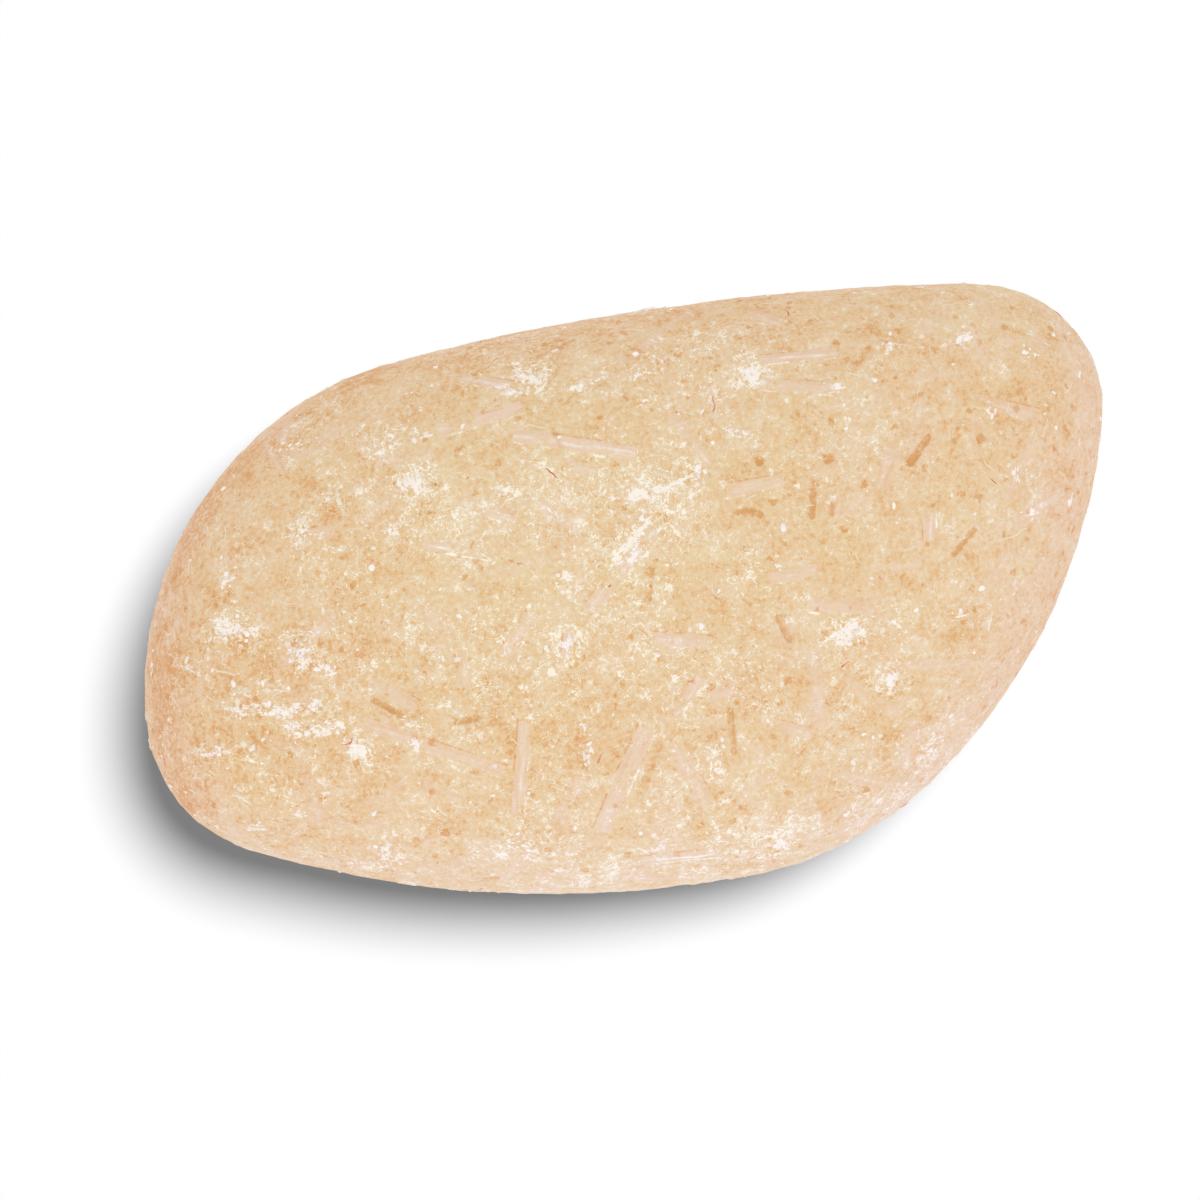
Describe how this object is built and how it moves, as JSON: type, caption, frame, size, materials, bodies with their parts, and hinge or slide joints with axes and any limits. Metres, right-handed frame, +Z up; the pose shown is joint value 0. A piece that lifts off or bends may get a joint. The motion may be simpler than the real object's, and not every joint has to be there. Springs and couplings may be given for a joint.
{
  "type": "shampoo bar",
  "caption": "Solid shampoo bar: a lopsided pebble pressed from pale surfactant noodles, held in the hand and rubbed on wet hair, laid on its small flat.",
  "frame": {"origin": "middle of the bar's box, on the ground that the small flat of the belly rests on", "axes": "+X along the length towards the narrow nose, +Y across the width towards the long straight back, +Z up through the crown"},
  "size_m": [0.09, 0.0528, 0.028],
  "materials": {
    "pressed_noodles": "matte, fine grained, with flush pale rods and small dark grooves"
  },
  "bodies": {
    "root": {"pressed_bar": "pressed_noodles"}
  },
  "joints": []
}
